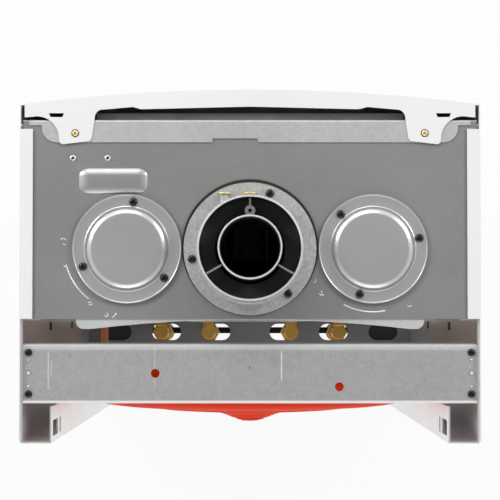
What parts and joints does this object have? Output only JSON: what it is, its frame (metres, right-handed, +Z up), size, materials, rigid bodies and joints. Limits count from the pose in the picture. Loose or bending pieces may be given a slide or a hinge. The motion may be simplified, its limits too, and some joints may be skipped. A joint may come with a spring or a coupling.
{
  "type": "wall-hung gas boiler",
  "caption": "Wall-hung gas boiler: bowed white casing over a sealed chamber, concentric flue adapter and covered intakes on top, rear frame with round expansion vessel, fold-down control flap.",
  "frame": {"origin": "on the wall plane, in the middle of the casing's width, at the height of the casing's lower edge", "axes": "X to the right seen from the front, Y toward the wall, Z up"},
  "size_m": [0.44, 0.338, 0.8876],
  "materials": {
    "white_enamel": "smooth white enamel",
    "galvanised": "galvanised sheet",
    "grey_plate": "satin coated sheet",
    "light_sheet": "satin sheet",
    "cast_aluminium": "cast",
    "black_rubber": "soft black",
    "black_paint": "black",
    "black_screws": "black zinc",
    "brass": "bright brass",
    "steel": "plain steel",
    "red_paint": "red paint",
    "copper": "copper",
    "fibre": "ceramic fibre board",
    "ceramic": "glazed ceramic",
    "white_plastic": "white moulding",
    "dark_plastic": "dark moulding",
    "cast_iron": "painted casting",
    "board": "green laminate",
    "window": "dark tinted window",
    "grey_plastic": "grey knob and button",
    "red_plastic": "red knob",
    "gauge_white": "gauge body"
  },
  "bodies": {
    "frame": {"front_panel": "white_enamel", "left_side_panel": "white_enamel", "right_side_panel": "white_enamel", "left_upright": "galvanised", "right_upright": "galvanised", "top_crossbar": "galvanised", "vessel_cradle": "galvanised", "chamber_tray": "galvanised", "chamber_cover": "galvanised", "chamber_top": "grey_plate", "left_intake_cover": "light_sheet", "right_intake_cover": "light_sheet", "flue_adapter": "cast_aluminium", "spigot_tube": "cast_aluminium", "fan_housing": "cast_aluminium", "gas_valve": "cast_aluminium", "flue_gasket": "black_rubber", "intake_gaskets": "black_rubber", "connection_bracket": "black_paint", "pump_motor": "black_paint", "fan_motor": "black_paint", "port_screws": "black_screws", "crossbar_screws": "black_screws", "casing_screws": "brass", "test_point_plugs": "brass", "pipe_connectors": "brass", "plate_rivets": "steel", "flue_hood": "steel", "combustion_chamber": "steel", "burner": "steel", "gas_manifold": "steel", "plate_exchanger": "steel", "expansion_vessel": "red_paint", "heat_exchanger": "copper", "water_pipes": "copper", "gas_pipes": "copper", "insulation_boards": "fibre", "electrodes": "ceramic", "control_fascia": "white_plastic", "control_box": "dark_plastic", "flow_block": "dark_plastic", "return_block": "dark_plastic", "diverter_actuator": "dark_plastic", "pressure_switch": "dark_plastic", "pump_volute": "cast_iron", "circuit_board": "board", "display_window": "window", "gauge_body": "gauge_white"},
    "fan_wheel": {"fan_wheel": "steel"},
    "pump_impeller": {"pump_impeller": "dark_plastic"},
    "diverter_plunger": {"diverter_plunger": "brass"},
    "safety_knob": {"safety_knob": "red_plastic"},
    "filling_knob": {"filling_knob": "grey_plastic"},
    "heating_knob": {"heating_knob": "grey_plastic"},
    "hot_water_knob": {"hot_water_knob": "grey_plastic"},
    "mode_button": {"mode_button": "grey_plastic"},
    "reset_button": {"reset_button": "grey_plastic"},
    "power_button": {"power_button": "grey_plastic"},
    "gauge_needle": {"gauge_needle": "red_plastic"},
    "control_flap": {"control_flap": "white_plastic"}
  },
  "joints": [
    {"name": "flap_hinge", "type": "hinge", "parent": "frame", "child": "control_flap", "pos_m": [0, -0.315, 0.011], "axis": [1, 0, 0], "range_deg": [0, 90]},
    {"name": "heating_knob_turn", "type": "hinge", "parent": "frame", "child": "heating_knob", "pos_m": [-0.078, -0.32, 0.096], "axis": [0, 1, 0], "range_deg": [-135, 135]},
    {"name": "hot_water_knob_turn", "type": "hinge", "parent": "frame", "child": "hot_water_knob", "pos_m": [0.078, -0.32, 0.096], "axis": [0, 1, 0], "range_deg": [-135, 135]},
    {"name": "mode_button_press", "type": "slide", "parent": "frame", "child": "mode_button", "axis": [0, 1, 0], "range_m": [0, 0.0015], "stiffness_N_per_m": 600},
    {"name": "reset_button_press", "type": "slide", "parent": "frame", "child": "reset_button", "axis": [0, 1, 0], "range_m": [0, 0.0015], "stiffness_N_per_m": 600},
    {"name": "power_button_press", "type": "slide", "parent": "frame", "child": "power_button", "axis": [0, 1, 0], "range_m": [0, 0.0015], "stiffness_N_per_m": 600},
    {"name": "gauge_needle_turn", "type": "hinge", "parent": "frame", "child": "gauge_needle", "pos_m": [0.148, -0.3155, 0.088], "axis": [0, 1, 0], "range_deg": [-120, 120]},
    {"name": "fan_spin", "type": "hinge", "parent": "frame", "child": "fan_wheel", "pos_m": [-0.032, -0.1854, 0.6762], "axis": [0, 1, 0], "continuous": true},
    {"name": "pump_spin", "type": "hinge", "parent": "frame", "child": "pump_impeller", "pos_m": [0.118, -0.144, 0.194], "axis": [0, 1, 0], "continuous": true},
    {"name": "diverter_slide", "type": "slide", "parent": "frame", "child": "diverter_plunger", "axis": [0, 0, 1], "range_m": [0, 0.008]},
    {"name": "safety_knob_turn", "type": "hinge", "parent": "frame", "child": "safety_knob", "pos_m": [0.118, -0.213, 0.08], "axis": [0, 1, 0], "range_deg": [0, 90]},
    {"name": "filling_knob_turn", "type": "hinge", "parent": "frame", "child": "filling_knob", "pos_m": [-0.118, -0.213, 0.08], "axis": [0, 1, 0], "range_deg": [0, 270]}
  ]
}
